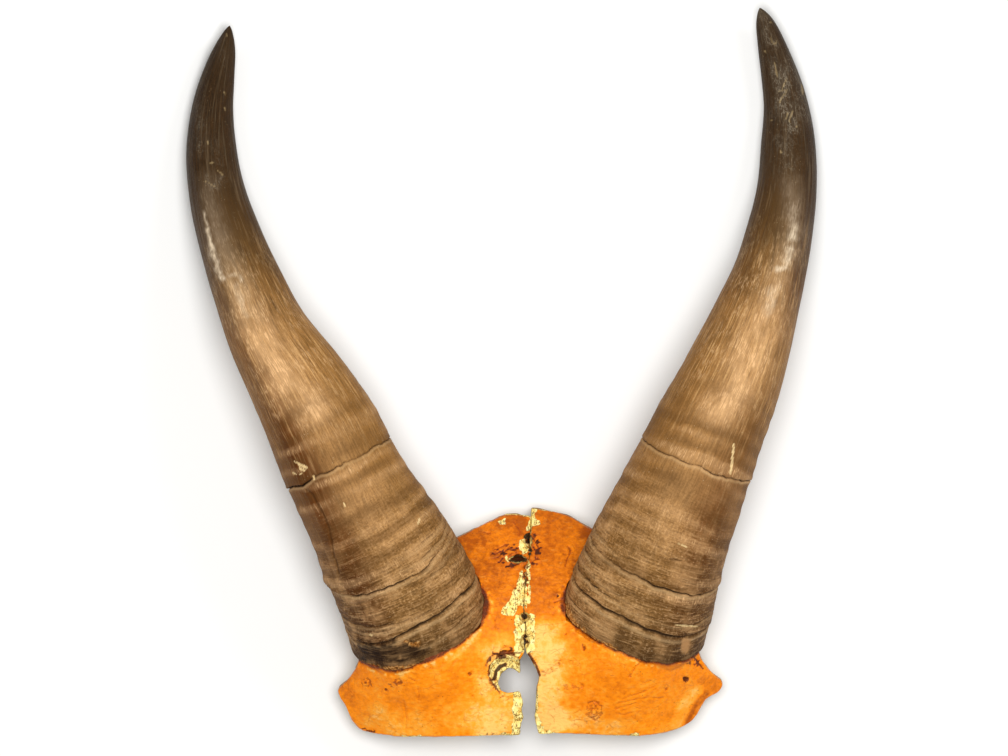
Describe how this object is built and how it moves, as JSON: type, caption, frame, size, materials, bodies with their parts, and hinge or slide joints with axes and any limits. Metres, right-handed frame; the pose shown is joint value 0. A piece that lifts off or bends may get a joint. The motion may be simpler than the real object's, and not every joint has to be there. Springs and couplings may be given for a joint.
{
  "type": "antelope horns",
  "caption": "Antelope horns that curve up and apart from a sawn, painted skull plate split down its middle, lying on its sawn back.",
  "frame": {"origin": "middle of the bounding box in X and Y, at the height of the surface that the part lies on", "axes": "+X across the forehead from the left half to the right half, +Y from the sawn lower edge to the horn tips, +Z out of the forehead"},
  "size_m": [0.2844, 0.3294, 0.0744],
  "materials": {
    "horn_keratin": "satin horn, dark at the tips and greyer at the ribbed base",
    "painted_bone": "bone brushed with orange paint, bare and porous along the broken edges"
  },
  "bodies": {
    "root": {"horn_left": "horn_keratin", "horn_right": "horn_keratin", "skull_plate_left": "painted_bone", "skull_plate_right": "painted_bone"}
  },
  "joints": []
}
